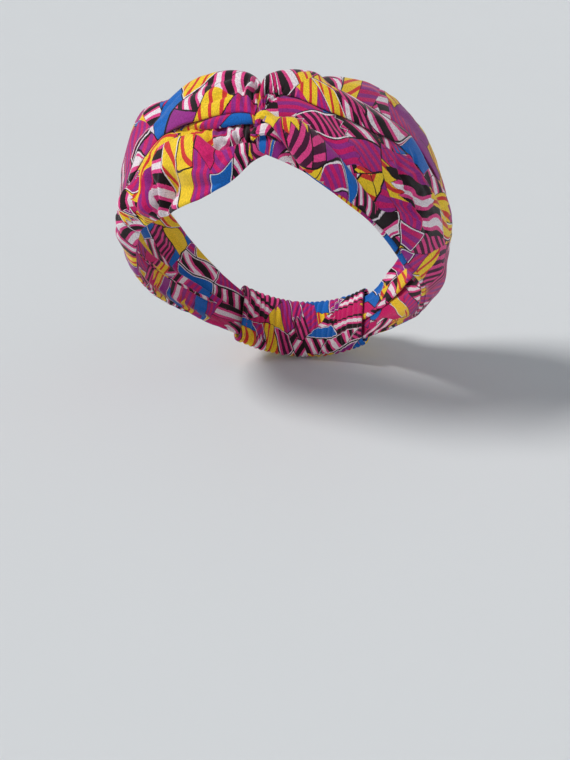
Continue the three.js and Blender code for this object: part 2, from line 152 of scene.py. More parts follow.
LEFT_LOWER_WRINKLES = [
    (1.0, 1.5, (24.8, -5.5), (23.2, -10.5)),
    (0.8, 2.4, (22.4, -7), (20.2, -13)),
    (1.2, 2.0, (19.4, -8), (18.4, -15)),
    (0.9, 3.2, (17.0, -8.5), (15.2, -14), (14.2, -19)),
    (1.2, 2.2, (14.0, -9), (13.2, -16), (12.8, -21)),
    (1.1, 3.9, (11.8, -9), (9.4, -14.5), (10.2, -20.6)),
    (0.7, 2.2, (8.6, -9.5), (7.5, -15), (7.4, -19.4)),
    (1.0, 3.2, (5.9, -10), (4.6, -14.5), (5.4, -18.6)),
    (0.8, 2.2, (3.3, -12), (2.4, -15), (3.0, -18.6)),
    (0.9, 1.7, (16.5, -13), (11.5, -16), (6, -15.4)),
    (0.7, -1.3, (14, -18.4), (10, -18.2), (5, -17)),
    (1.3, -0.9, (12, -28), (22, -25), (31, -19)),
    (1.2, -1.6, (11, -24.6), (13, -26), (17, -24)),
    (2.2, -4.8, (30, -22.5), (35.7, -29), (38.4, -32.5), (41.3, -37)),
    (1.5, 2.7, (34.5, -21), (38, -27), (40, -31.5), (43, -35.4)),
    (1.1, -3.6, (38.8, -13), (39.6, -20), (40.4, -25.5), (41.9, -30.6), (45.4, -33.2), (51, -34)),
    (1.9, 2.6, (42.5, -12), (43.4, -20), (45.2, -28), (50, -32)),
    (1.1, 1.4, (50, -17), (53.5, -23), (53, -29)),
    (1.0, -1.1, (56, -15), (58, -22), (56.5, -29)),
    (1.3, -1.1, (62, -16), (63, -23), (60, -30)),
    (2.0, 1.2, (70, -24), (96, -21), (140, -8)),
    (1.6, -1.1, (72, -30), (104, -25), (146, -10)),
]

# A fan of pleats: the (angle, across) of the pivot they run to, the bearings of its sides from the
# crown direction, how many pleats, how deep, where they reach their full height and fade, and how
# far they stray from straight.
RIGHT_FRONT_FAN = {
    "pivot": (-0.7, -8.2),
    "bearings": (-18, 46),
    "pleats": 6,
    "depth": 2.6,
    "start": 2.5,
    "reach": 16,
    "fade": 4,
    "stray": 0.7,
}

# ---- strands ----
# A fold's two rows hold how far across it lies and how high, at each of the strand's angles.


def strand(angles, creases, wrinkles, fan=None, **folds):
    """A strand's table. Its creases name the folds that are pressed sharp.

    Each has the neighbour that hangs over it: 1 for the next fold and -1 for the one before.
    Cloth is hidden in their depth.
    """
    return {"angle": angles, "creases": creases, "wrinkles": wrinkles, "fan": fan, "folds": folds}


RIGHT_FRONT = strand(
    [-2.6, -2, -1.4, 1, 4, 8, 13, 19, 33, 41, 50, 62, 76, 92, 130, 150],
    {"pleatCrease": -1, "flapCrease": 1, "flapFoot": -1},
    RIGHT_FRONT_WRINKLES,
    fan=RIGHT_FRONT_FAN,
    topEdge=(
        [-10.4, -4, 11.5, 16, 19.5, 22, 22.5, 14.5, 12.5, 12, 13, 7, 6, 8, 15, 13],
        [6.2, 7.4, 7.6, 7, 6, 5.4, 5.2, 5.4, 5.4, 5.4, 5.4, 5.4, 5.4, 5.4, 4.4, 3.8],
    ),
    pleatCrest=(
        [-10.7, -5, 5.5, 9.5, 11.5, 12, 11.5, 7.5, 5.5, 5.5, 4, 0, -2, -2, 8, 9],
        [6.4, 8.6, 10, 11, 11, 10.8, 10.8, 10.6, 9.8, 9, 8.2, 7.8, 7.8, 7.6, 5.2, 4.2],
    ),
    pleatCrease=(
        [-11, -6, -0.5, 3.2, 3.6, 3.2, 1.4, -0.6, -1.6, -0.5, -3, -6, -8, -8, 3, 5],
        [6.3, 8, 7, 5.8, 4.8, 4.4, 4.2, 4.2, 4.8, 5.6, 6.4, 7.2, 8, 7.8, 5.2, 4.2],
    ),
    panelCrest=(
        [-11.3, -7, -3.5, -2, -2, -1.5, -3.5, -7, -11.5, -12.5, -13, -15, -17, -16, -2, 0],
        [6.4, 8.6, 9, 9.2, 8.8, 8.2, 8.2, 8.2, 8.2, 8.2, 8, 8.2, 8.4, 8, 5.2, 4.2],
    ),
    flapCrease=(
        [-11.6, -8, -7.4, -9.6, -11.2, -10.6, -13, -18.4, -30, -32.5, -27, -26, -27, -25, -7, -4],
        [6.3, 8.2, 7.6, 6.4, 4.8, 4, 3.6, 3.6, 4, 5, 6.8, 7.6, 7.6, 7.4, 5, 4.2],
    ),
    flapCrest=(
        [-12, -9, -8, -10.2, -12.8, -13.4, -16.8, -22, -32.5, -35, -33, -34.5, -33, -31, -12, -8],
        [6.4, 8.6, 9.2, 10, 11, 11.2, 10.8, 10, 7.8, 6.4, 6, 6.2, 6, 5.6, 4.8, 4.2],
    ),
    flapEdge=(
        [
            -12.4, -10, -8.8, -11, -15.6, -21.6, -27.2, -30.2,
            -34.6, -36.4, -37.5, -39.5, -37, -34, -16, -11,
        ],
        [6.2, 8.4, 8.8, 9.4, 9.6, 9.4, 8.2, 7.2, 5.4, 4.8, 4.4, 4.4, 4.2, 4.2, 4, 3.8],
    ),
    flapFoot=(
        [
            -12.8, -11, -9.2, -10.4, -14.6, -20.4, -26.2, -29.6,
            -34.4, -36.2, -37.9, -39.9, -37.4, -34.4, -17, -12,
        ],
        [6, 7.4, 6.8, 5.8, 4.8, 4.2, 3.8, 3.6, 3.4, 3.4, 3.6, 3.6, 3.6, 3.6, 3.6, 3.5],
    ),
    lowerEdge=(
        [-16.8, -19, -21.5, -23.6, -24.8, -26, -27.8, -31, -36, -37.5, -40, -42, -39, -36, -19, -13.5],
        [5.2, 6, 6.2, 6.2, 5.6, 4.6, 3.8, 3.4, 3, 3, 3, 3, 3, 3, 3.4, 3.4],
    ),
)

RIGHT_BACK = strand(
    [6, 12, 18, 35, 60, 76, 112, 143, 150],
    {"tuck": -1},
    RIGHT_BACK_WRINKLES,
    topEdge=(
        [7, 17, 26, 33.5, 37.5, 37, 27, 13.5, 13],
        [2.4, 3, 3.2, 3.4, 3.4, 3.4, 3.2, 3, 3],
    ),
    crest=(
        [4, 12, 20, 28, 30, 29, 21, 11.5, 11],
        [2.6, 3.2, 5, 6.4, 7, 7, 5.6, 3, 3],
    ),
    tuck=(
        [2, 8, 13, 15, 12, 9, 12, 9, 9],
        [2.6, 2.8, 3, 3.2, 3.2, 3.2, 2.9, 2.4, 2.4],
    ),
    hiddenEdge=(
        [-1, 2, 5, 6, 3, 0, 3, -2, -2],
        [2.4, 2.4, 2.4, 2.6, 2.6, 2.6, 2.5, 2.4, 2.4],
    ),
)

LEFT_UPPER = strand(
    [-1.2, 0.8, 2.9, 4.2, 8, 14, 20, 27, 34, 41, 48, 56, 66, 80, 132, 150],
    {"rollCrease": -1},
    LEFT_UPPER_WRINKLES,
    topEdge=(
        [6, 8, 11.5, 15, 19, 23, 26, 26, 21.5, 24, 29, 29, 28, 28, 18, 13],
        [4, 4.8, 6, 5.2, 4.2, 4, 4, 4, 4, 4.6, 5.6, 4.6, 4, 4, 3.4, 3.4],
    ),
    rollCrest=(
        [3, 5, 7, 9, 11.5, 13.5, 15, 14.5, 11.5, 14, 17, 15, 11, 9, 8, 8],
        [4.2, 6.4, 8.8, 10, 10.6, 11, 11, 10.6, 10, 11.4, 12.8, 10.4, 8, 6.2, 4.8, 4.2],
    ),
    rollBrow=(
        [1, 0.6, 0, -0.4, 0.4, 0.4, 0.4, 1, 1.6, -0.6, -3.6, -8, -11, -8, 2.6, 3.6],
        [4.2, 6.2, 8.4, 9.6, 10.2, 10.4, 10.4, 10, 9.6, 9.8, 10.2, 9.4, 8, 6.4, 4.8, 4.2],
    ),
    rollCrease=(
        [-3, -4, -5.5, -4.8, -4, -4, -4.1, -3, -2.4, -5.6, -9.6, -14.4, -17, -13.6, -1, 0.2],
        [4, 4.4, 4.2, 3.8, 3.4, 3.4, 3.6, 3.8, 4, 4.4, 5, 5.4, 5.4, 5.2, 4.4, 4],
    ),
    lip=(
        [-6.4, -6.8, -7.8, -7.8, -7.2, -7.4, -6.8, -4.6, -3.8, -7, -11, -15.8, -18.2, -14.8, -1.9, -0.5],
        [4, 5, 6.4, 7.2, 7.6, 7.6, 6.8, 5, 4.6, 4.6, 5, 5.2, 5, 4.8, 4.3, 4],
    ),
    lipEdge=(
        [-7.6, -8.6, -10.2, -10.4, -10.2, -10.4, -8.4, -5.8, -4.8, -8, -12.2, -17, -19.4, -16, -2.8, -1.3],
        [3.8, 4.4, 5.8, 6.2, 6.4, 6.2, 5.2, 4.2, 3.8, 3.8, 4, 4.2, 4.2, 4, 4, 4],
    ),
)

LEFT_LOWER = strand(
    [-1.4, 2, 5, 8, 12.5, 16.5, 20, 25, 34, 41, 46, 51, 57, 64, 75, 130, 150],
    {"hollow": 1},
    LEFT_LOWER_WRINKLES,
    hiddenEdge=(
        [-13, -7.5, -3.6, -2, 1, 1.6, 2, 3, 4, 4, 2, -2, -6, -9, -9, 2, 2],
        [2.8, 2.6, 2.5, 2.5, 2.4, 2.4, 2.4, 2.4, 2.4, 2.6, 2.6, 2.8, 3, 3.2, 3, 2.6, 2.6],
    ),
    upperSlope=(
        [-18.4, -17, -14, -13.4, -13.6, -12.4, -11, -8, -6, -6, -10, -15, -18, -20, -19, -3, -2],
        [3, 2.9, 2.8, 2.8, 2.8, 2.9, 3.2, 4.6, 7, 7, 7, 8.4, 9.6, 8.8, 6, 4.6, 3.6],
    ),
    hollow=(
        [
            -20.6, -20.9, -20.8, -21.6, -23.2, -19.4, -14.8, -12, -10.5,
            -11, -14, -18, -22, -24, -23, -6, -4,
        ],
        [3.6, 3.3, 3, 2.9, 2.9, 3, 3.4, 4.6, 7, 8, 7.6, 10.4, 12.6, 10.8, 6.2, 4.6, 3.6],
    ),
    lowerRoll=(
        [-21.5, -22.2, -23, -24.2, -26, -23, -18.4, -15.4, -14, -17, -20, -22, -25, -27, -26, -9, -6],
        [4.8, 6, 7.8, 8.8, 9.4, 9.4, 9.2, 8.8, 8.6, 9.2, 6.8, 11, 13.4, 11.4, 6.2, 4.4, 3.6],
    ),
    ridge=(
        [-21.9, -23.4, -25, -27, -30, -29.6, -27.6, -24.6, -19.4, -23, -25, -26, -28, -29.5, -29, -12, -8],
        [4.6, 5.6, 6.8, 7.4, 8.2, 8.2, 8.2, 8.2, 7.8, 8.8, 7.4, 8.4, 12, 10.4, 6.2, 4.2, 3.6],
    ),
    dip=(
        [
            -22.2, -24.4, -26.8, -29.4, -32.6, -33.4, -33, -32, -28.6,
            -29, -30, -30, -30.5, -31.5, -32, -15, -10,
        ],
        [4.4, 5, 5.4, 5.2, 4.8, 4, 3.6, 3.2, 3, 4.4, 8.2, 4.2, 8.6, 7.6, 5, 3.8, 3.6],
    ),
    lowerEdge=(
        [
            -22.6, -25, -28, -31, -34, -35.4, -36.5, -37.2, -37,
            -36, -34.5, -33, -32.5, -33.5, -35, -18, -13,
        ],
        [4.2, 4.6, 4.8, 4.4, 4.2, 4, 3.9, 3.8, 3.8, 3.4, 3, 2.8, 4, 4, 3.4, 3.2, 3.4],
    ),
)

# ---- bundle tables ----
# Columns of a bundle's centre line and half sizes, in millimetres from the knot.

RIGHT_CURL = {
    "along": [5.5, 2.6, 0.2, -2.0, -2.2, -0.4, 2.4],
    "across": [-11.4, -9.6, -8.8, -9.8, -12, -13.4, -13.6],
    "height": [7.2, 8.6, 9.4, 8.8, 8.0, 7.2, 5.6],
    "halfWidth": [1.2, 1.7, 1.8, 1.8, 1.7, 1.6, 1.5],
    "halfThickness": [0.7, 1.1, 1.2, 1.2, 1.1, 1.0, 0.8],
}

RIGHT_NECK = {
    "along": [7.4, 4.4, 1.2, -1.8, -4.2, -4.4, -2.4, 2.5, 7, 12],
    "across": [-17.4, -15.4, -14.4, -15.0, -16.0, -15.4, -12.5, -6.5, -1, 3],
    "height": [5.6, 7.4, 8.4, 8.0, 5.8, 3.6, 1.6, 1, 1.1, 1.5],
    "halfWidth": [2.2, 2.6, 2.5, 2.3, 2.4, 2.6, 2.8, 3.8, 4.6, 4.6],
    "halfThickness": [0.8, 1.1, 1.3, 1.3, 1.2, 1.0, 0.9, 0.8, 0.8, 0.8],
}

LEFT_TURN = {
    "along": [-9, -4, 1, 5, 6.4, 5, 1.6, -3, -7.5],
    "across": [3, 2, 1, -2.5, -8, -14.6, -19.8, -22.4, -23],
    "height": [6.8, 4.4, 3.8, 3.8, 3.8, 3.7, 3.6, 4, 5.8],
    "halfWidth": [3.6, 4, 4, 3.6, 3.4, 3, 2.2, 2, 1.6],
    "halfThickness": [1.2, 1.1, 1.1, 1.1, 1.1, 1.1, 1.1, 1.1, 0.9],
}


# ---- band surface ----

def eased(angle, start, stop):
    """How far a change between two angles has gone, eased by the cosine of the angle."""
    here, first, last = (-np.cos(np.radians(degrees)) for degrees in (angle, start, stop))
    t = np.clip((here - first) / (last - first), 0, 1)
    return t * t * (3 - 2 * t)


def band_point(angle, across, height):
    """Points in metres at band coordinates, which are arrays of one shape."""
    turn = np.radians(angle)
    lift = across / HEAD_ROUNDING
    half_width = HEAD_HALF_WIDTH * (1 - NAPE_NARROWING * eased(angle, NARROWING_FROM, 180))
    x = half_width * np.sin(turn) * np.cos(lift)
    y = -HEAD_HALF_LENGTH * np.cos(turn) * np.cos(lift)
    z = HEAD_ROUNDING * np.sin(lift)
    out = np.stack([x / half_width**2, y / HEAD_HALF_LENGTH**2, z / HEAD_ROUNDING**2], -1)
    out /= np.linalg.norm(out, axis=-1, keepdims=True)
    point = np.stack([x, y, z], -1) + out * np.asarray(height)[..., None]
    point[..., 0] += NAPE_DRIFT * eased(angle, DRIFT_FROM, DRIFT_TO)
    tilt = math.radians(WEARING_TILT)
    cos, sin = math.cos(tilt), math.sin(tilt)
    tilted = np.stack([
        point[..., 0],
        cos * point[..., 1] + sin * point[..., 2],
        -sin * point[..., 1] + cos * point[..., 2],
    ], -1)
    return tilted * MM


def monotone_slopes(steps, values):
    """Slopes at the nodes (first axis) for a curve that never swings past a value."""
    steps = steps.reshape((-1,) + (1,) * (values.ndim - 1))
    rises = np.diff(values, axis=0) / steps
    slopes = np.zeros_like(values)
    slopes[0], slopes[-1] = rises[0], rises[-1]
    before, after = rises[:-1], rises[1:]
    weight_before = 2 * steps[1:] + steps[:-1]
    weight_after = steps[1:] + 2 * steps[:-1]
    same_way = before * after > 0
    safe_before = np.where(same_way, before, 1)
    safe_after = np.where(same_way, after, 1)
    mean = (weight_before + weight_after) / (weight_before / safe_before + weight_after / safe_after)
    slopes[1:-1] = np.where(same_way, mean, 0)
    return slopes


def hermite(nodes, values, left, right, places):
    """Values at the places, from the nodes' values and the slopes on their left and right."""
    i = np.clip(np.searchsorted(nodes, places, side="right") - 1, 0, len(nodes) - 2)
    step = nodes[i + 1] - nodes[i]
    t = np.clip((places - nodes[i]) / step, 0, 1)
    shape = (-1,) + (1,) * (values.ndim - 1)
    t, step = t.reshape(shape), step.reshape(shape)
    start = (1 + 2 * t) * (1 - t) ** 2 * values[i] + t * (1 - t) ** 2 * step * right[i]
    end = t * t * (3 - 2 * t) * values[i + 1] + t * t * (t - 1) * step * left[i + 1]
    return start + end


def smooth_curve(nodes, values, places):
    """A curve through the values that never swings past one."""
    nodes = np.asarray(nodes, float)
    values = np.asarray(values, float)
    slopes = monotone_slopes(np.diff(nodes), values)
    return hermite(nodes, values, slopes, slopes, np.asarray(places, float))


def travelled(points, axis, closed=False):
    """The way to each point along an axis of a grid, from the first or round from the last."""
    before = points.take([-1 if closed else 0], axis)
    return np.cumsum(np.linalg.norm(np.diff(points, axis=axis, prepend=before), axis=-1), axis=axis)


# ---- relief of a sheet ----

PINCH = 1.6  # a wrinkle's profile: 2 is round, less is pinched
CREST_RADIUS = 0.4
END_TAPER = 0.06  # share of a wrinkle's arch that is cut off at each end
ARCH_FULLNESS = 0.8
STRAY_WAVES = ((11, 0.45), (6, 0.25))  # (length, amount)
SOFT_WAVES = ((34, 0.32), (21, 0.22), (13, 0.13), (8, 0.07))
SOFT_DIRECTIONS = 3
SOFT_SCALE = 1.7
# How the pleats of a fan differ: amount, waves in radians over the fan, and start of the waves.
PLEAT_SPACING = (0.06, 9.3, 0.8)
PLEAT_STRENGTH = (0.28, 17.0, 2.0)
PLEAT_ROUNDNESS = 0.7
PLEAT_SINK = 0.6


def wave(x, y, length, bearing, phase):
    """A wave of the length that runs across the cloth towards the bearing."""
    way = (x * math.cos(bearing) + y * math.sin(bearing)) * 2 * math.pi / length
    return np.sin(way + phase)


def straying(x, y, seed):
    """How far wrinkles stray from their paths at each place, both ways, in millimetres."""
    rng = np.random.default_rng(seed)
    stray = np.zeros((2,) + x.shape)
    for length, amount in STRAY_WAVES:
        for part in stray:
            bearing, phase = rng.uniform(0, 2 * math.pi, 2)
            part += amount * wave(x, y, length, bearing, phase)
    return stray


def wrinkle_relief(wrinkles, angle, across, seed):
    """The height that the wrinkles add at each place."""
    relief = np.zeros_like(across)
    stray = straying(angle * MM_PER_DEGREE, across, seed)
    x = angle * MM_PER_DEGREE + stray[0]
    y = across + stray[1]
    for width, height, *path in wrinkles:
        path = [(a * MM_PER_DEGREE, b) for a, b in path]
        lengths = [math.dist(p, q) for p, q in zip(path, path[1:])]
        nearest = np.full_like(across, np.inf)
        along = np.zeros_like(across)
        done = 0
        for p, q, length in zip(path, path[1:], lengths):
            dx, dy = q[0] - p[0], q[1] - p[1]
            t = np.clip(((x - p[0]) * dx + (y - p[1]) * dy) / length**2, 0, 1)
            distance = np.hypot(x - p[0] - t * dx, y - p[1] - t * dy)
            closer = distance < nearest
            nearest = np.where(closer, distance, nearest)
            along = np.where(closer, (done + t * length) / sum(lengths), along)
            done += length
        arch = np.sin(math.pi * (END_TAPER + (1 - 2 * END_TAPER) * along)) ** ARCH_FULLNESS
        away = np.hypot(nearest, CREST_RADIUS) - CREST_RADIUS
        relief += height * arch * np.exp(-((away / width) ** PINCH))
    return relief


def fan_relief(fan, angle, across, seed):
    """The height of pleats that run together at a pivot, no two of them alike."""
    stray = straying(angle * MM_PER_DEGREE, across, seed) * fan["stray"]
    dx = (angle - fan["pivot"][0]) * MM_PER_DEGREE + stray[0]
    dy = across - fan["pivot"][1] + stray[1]
    bearing = np.degrees(np.arctan2(dx, dy))
    distance = np.hypot(dx, dy)
    start, stop = fan["bearings"]
    share = (bearing - start) / (stop - start)
    amount, waves, phase = PLEAT_SPACING
    uneven = share + amount * np.sin(waves * share + phase)
    amount, waves, phase = PLEAT_STRENGTH
    strength = 1 - amount + amount * np.sin(waves * share + phase)
    inside = np.clip(np.minimum(share, 1 - share) * fan["pleats"], 0, 1)
    fade = np.clip(distance / fan["start"], 0, 1) * np.clip((fan["reach"] - distance) / fan["fade"], 0, 1)
    ridges = np.abs(np.sin(math.pi * fan["pleats"] * uneven)) ** PLEAT_ROUNDNESS - PLEAT_SINK
    return fan["depth"] * strength * inside * fade * ridges


def softness(angle, across, seed):
    """Slow unevenness of hand-laid cloth, in millimetres."""
    rng = np.random.default_rng(seed)
    x = angle * MM_PER_DEGREE
    total = np.zeros_like(across)
    for length, amount in SOFT_WAVES:
        for _ in range(SOFT_DIRECTIONS):
            bearing = rng.uniform(0, math.pi)
            phase = rng.uniform(0, 2 * math.pi)
            total += amount * wave(x, across, length, bearing, phase)
    return total / SOFT_SCALE


# ---- meshes ----

def within_one_stretch(corners, around):
    """Lets each quad lie in one stretch of the print, where its coordinates start again.

    That is where a rim joins a face to the lining's, and where a tube closes on itself.
    """
    quads = corners.reshape(-1, 4, 2)
    u, v = quads[..., 0], quads[..., 1]
    u -= LINING_SHIFT * (u > u.min(axis=1, keepdims=True) + LINING_SHIFT / 2)
    if around:
        v += around * (v < v.max(axis=1, keepdims=True) - around / 2)
    return quads.reshape(-1, 2)


def mesh_object(name, points, faces, uvs, material, around=0):
    """A smooth-shaded object from numpy points, quads and one uv pair a point, in centimetres."""
    mesh = bpy.data.meshes.new(name)
    mesh.from_pydata(points.reshape(-1, 3).tolist(), [], faces.tolist())
    layer = mesh.uv_layers.new(name="cloth")
    corners = np.empty(len(mesh.loops), dtype=np.int32)
    mesh.loops.foreach_get("vertex_index", corners)
    placed = within_one_stretch(uvs.reshape(-1, 2)[corners], around)
    layer.data.foreach_set("uv", placed.astype(np.float32).ravel())
    mesh.shade_smooth()
    mesh.materials.append(material)
    mesh.validate()
    piece = bpy.data.objects.new(name, mesh)
    bpy.context.collection.objects.link(piece)
    return piece


def grid_faces(rows, columns, start, flip):
    """Quads of a grid of points, numbered from start."""
    r, c = np.meshgrid(np.arange(rows - 1), np.arange(columns - 1), indexing="ij")
    a = start + r * columns + c
    quads = np.stack([a, a + 1, a + columns + 1, a + columns], -1).reshape(-1, 4)
    return quads[:, ::-1] if flip else quads


def tube_faces(rings, sides):
    """Quads of a tube of rings, open at both ends."""
    ring, side = np.meshgrid(np.arange(rings - 1) * sides, np.arange(sides), indexing="ij")
    following = ring + (side + 1) % sides
    return np.stack([ring + side, following, following + sides, ring + side + sides], -1).reshape(-1, 4)


def tube_coordinates(points, print_at):
    """The print's coordinates on a tube of rings, and its length around, in centimetres."""
    around = travelled(points, 1, closed=True)
    length = travelled(points, 0)
    around = np.broadcast_to(around.mean(axis=0), around.shape) * 100
    length = np.broadcast_to(length.mean(axis=1, keepdims=True), length.shape) * 100
    return np.stack([length + print_at[0], around + print_at[1]], -1), around.max()


def with_lining(uvs):
    """The coordinates of a face and, after them, of its lining."""
    return np.stack([uvs, uvs + (LINING_SHIFT, 0)])


def rim_loop(rows, columns):
    """The points round the edge of a grid, in order."""
    number = np.arange(rows * columns).reshape(rows, columns)
    return np.concatenate([number[0, :-1], number[:-1, -1], number[-1, :0:-1], number[:0:-1, 0]])


def shell_object(name, outer, inner, uvs, material, flip):
    """A closed shell between two grids of points whose rims run together."""
    rows, columns = outer.shape[:2]
    count = rows * columns
    rim = rim_loop(rows, columns)
    following = np.roll(rim, -1)
    band = np.stack([following, rim, rim + count, following + count], -1)
    faces = np.concatenate([
        grid_faces(rows, columns, 0, flip),
        grid_faces(rows, columns, count, not flip),
        band[:, ::-1] if flip else band,
    ])
    return mesh_object(name, np.stack([outer, inner]), faces, with_lining(uvs), material)


# ---- sheets ----

CREASE_SHARPNESS = 2.3
OVERHANG_SHARE = 0.55  # of a crease's depth
OVERHANG_MOST = 1.9
LINING_SETBACK = 0.6  # how far the lining's lip stays back from the crease
LIP_SHARE = 0.62  # how far up the fold its overhanging lip lies
FOLD_STEPS = 12
STEP_AT = {"angle": [3, 9, 30, 60, 75], "step": [0.19, 0.34, 0.4, 0.55, 0.9]}  # in degrees
HIDDEN_PER_DEPTH = 5  # cloth hidden in a crease, in times its depth
HIDDEN_SLANT = 0.35  # how far the hidden cloth also shifts the print along the band
CALM_END = 6  # degrees before the casing in which wrinkles die out
RIM_LEAST = 0.04  # the share of the wall that is left at the very edge


def fine_angles(first, last):
    """Angles of the sections: close together at the knot and wider behind the ears."""
    angles = [first]
    while angles[-1] < last:
        angles.append(angles[-1] + np.interp(angles[-1], STEP_AT["angle"], STEP_AT["step"]))
    spread = (last - first) / (angles[-1] - first)
    return first + (np.array(angles) - first) * spread


def fold_section(table, angles, overhanging):
    """The across and height of every sample (first axis) at every angle, with sharp creases.

    Also the cloth hidden at each crease, by sample. Without overhangs the section has as many
    samples, so that it can line one that has them.
    """
    names = list(table["folds"])
    across, height = (
        [smooth_curve(table["angle"], fold[part], angles) for fold in table["folds"].values()]
        for part in (0, 1)
    )
    sharp = {}
    for name, side in table["creases"].items():
        k = names.index(name)
        rise = np.maximum(height[k + side] - height[k], 0)
        hang = np.minimum(OVERHANG_SHARE * rise, OVERHANG_MOST) if overhanging else -LINING_SETBACK
        lip_across = across[k] + side * hang
        lip_height = height[k] + LIP_SHARE * rise
        at = k + 1 if side > 0 else k
        names.insert(at, name + "Lip")
        across.insert(at, lip_across)
        height.insert(at, lip_height)
        sharp[name] = rise
    across, height = np.array(across), np.array(height)
    nodes = np.arange(len(names), dtype=float)
    places = np.linspace(0, len(names) - 1, (len(names) - 1) * FOLD_STEPS + 1)
    left = monotone_slopes(np.diff(nodes), height)
    right = left.copy()
    depth = {}
    for name, rise in sharp.items():
        k = names.index(name)
        left[k] = CREASE_SHARPNESS * np.minimum(height[k] - height[k - 1], 0)
        right[k] = CREASE_SHARPNESS * np.maximum(height[k + 1] - height[k], 0)
        depth[k * FOLD_STEPS] = rise
    return smooth_curve(nodes, across, places), hermite(nodes, height, left, right, places), depth


def print_coordinates(points, depth, print_at):
    """Where each point lies on the unfolded print, in centimetres."""
    middle = points.shape[0] // 2
    v = travelled(points, 0)
    v -= v[middle]
    u = np.broadcast_to(travelled(points[middle], 0), v.shape).copy()
    for row, hidden in depth.items():
        v[row + 1:] += hidden * HIDDEN_PER_DEPTH * MM
        u[row + 1:] += HIDDEN_SLANT * hidden * HIDDEN_PER_DEPTH * MM
    return np.stack([u * 100 + print_at[0], v * 100 + print_at[1]], -1)


def cloth_sheet(name, table, side, print_at, material, seed):
    """One strand: a pleated sheet as a closed shell with softly rounded edges."""
    angles = fine_angles(table["angle"][0], table["angle"][-1])

    def face(overhanging, outwards):
        """One face of the shell, with the edges drawn in to the middle of the wall."""
        across, height, depth = fold_section(table, angles, overhanging)
        angle = np.broadcast_to(angles, across.shape)
        relief = wrinkle_relief(table["wrinkles"], angle, across, seed)
        relief += softness(angle, across, seed) * SOFTNESS
        if table["fan"]:
            relief += fan_relief(table["fan"], angle, across, seed)
        full = height + relief * np.clip((angles[-1] - angle) / CALM_END, 0, 1)
        from_top = travelled(band_point(side * angle, across, full), 0) / MM
        to_edge = np.minimum(from_top, from_top[-1] - from_top)
        to_end = (angle - angles[0]) * MM_PER_DEGREE
        nearest = np.minimum(to_edge, to_end)
        roundness = np.sqrt(1 - np.clip(1 - nearest / EDGE_RADIUS, 0, 1) ** 2)
        half_wall = CLOTH_WALL / 2 * np.maximum(roundness, RIM_LEAST)
        level = full - CLOTH_WALL / 2 + outwards * half_wall
        return band_point(side * angle, across, level), depth

    outer, depth = face(True, 1)
    inner, _ = face(False, -1)
    across, height, _ = fold_section(table, angles, False)
    calm = band_point(np.broadcast_to(angles, across.shape), across, height)
    uvs = print_coordinates(calm, depth, print_at)
    return shell_object(name, outer, inner, uvs, material, flip=side == LEFT)


# ---- bundles ----

BUNDLE_SIDES = 60
BUNDLE_STEPS = 90
FLUTE_DEPTH = 0.16  # share of the bundle's girth


def bundle(name, table, kept_axis, pleats, print_at, material):
    """A bundle of gathered cloth, fluted along its length, that keeps to an axis of the band."""
    count = len(table["along"]) - 1
    place = np.linspace(0, count, BUNDLE_STEPS + 1)
    column = {key: smooth_curve(np.arange(count + 1), row, place) for key, row in table.items()}
    centre = np.stack([column["along"], column["across"], column["height"]], -1)
    tangent = np.gradient(centre, axis=0)
    tangent /= np.linalg.norm(tangent, axis=-1, keepdims=True)
    kept = np.array([0.0, kept_axis == "across", kept_axis == "height"])
    first = kept - tangent * (tangent @ kept)[:, None]
    first /= np.linalg.norm(first, axis=-1, keepdims=True)
    second = np.cross(tangent, first)
    width, thickness = (first, second) if kept_axis == "across" else (-second, first)
    turn = np.linspace(0, 2 * math.pi, BUNDLE_SIDES, endpoint=False)
    flute = 1 - FLUTE_DEPTH + FLUTE_DEPTH * np.abs(np.sin(pleats * turn / 2))
    across_part = (column["halfWidth"][:, None] * np.cos(turn) * flute)[..., None]
    out_part = (column["halfThickness"][:, None] * np.sin(turn) * flute)[..., None]
    band = centre[:, None] + width[:, None] * across_part + thickness[:, None] * out_part
    points = band_point(band[..., 0] / DEGREE_AT_KNOT, band[..., 1], band[..., 2])
    rings, sides = points.shape[:2]
    uvs, around = tube_coordinates(points, print_at)
    piece = mesh_object(name, points, tube_faces(rings, sides), uvs, material, around)
    close_ends(piece, sides, rings)
    return piece


def close_ends(piece, sides, rings):
    """Caps the two open ends of a tube of rings and turns its faces outwards."""
    mesh = bmesh.new()
    mesh.from_mesh(piece.data)
    mesh.verts.ensure_lookup_table()
    for start in (0, (rings - 1) * sides):
        mesh.faces.new([mesh.verts[start + k] for k in range(sides)])
    bmesh.ops.recalc_face_normals(mesh, faces=mesh.faces[:])
    mesh.to_mesh(piece.data)
    mesh.free()


# ---- nape casing ----

GATHERS = 23
GATHER_DEPTH = 0.75
GATHER_STRAY = 0.55
WANDER_WAVES = (1, 2, 3, 5)
GATHER_UNEVENNESS = 0.25
GATHER_UNEVEN_WAVES = (41, 2)  # along the casing and around it, in radians
GATHER_RISE = 1.6
GATHER_SINK = 1.1
LINING_GATHER_SHARE = 0.25
CASING_SEED = 7
CASING_STATIONS = 260
CASING_AROUND = 88
CASING_PRINT = (71, 13)
MOUTH_HEM = 4.0
MOUTH_ROUNDING = 0.8
MOST_DRAWN_IN = 0.96  # of the way to the middle of the wall
HEM_SWELL = 0.3
LEAST_GATHER = 0.18
STITCH_GROOVE = 0.35
GROOVE_SPREAD = 0.5
STITCH_FROM_MOUTH = 3.2


def squared(value, power):
    return np.sign(value) * np.abs(value) ** power


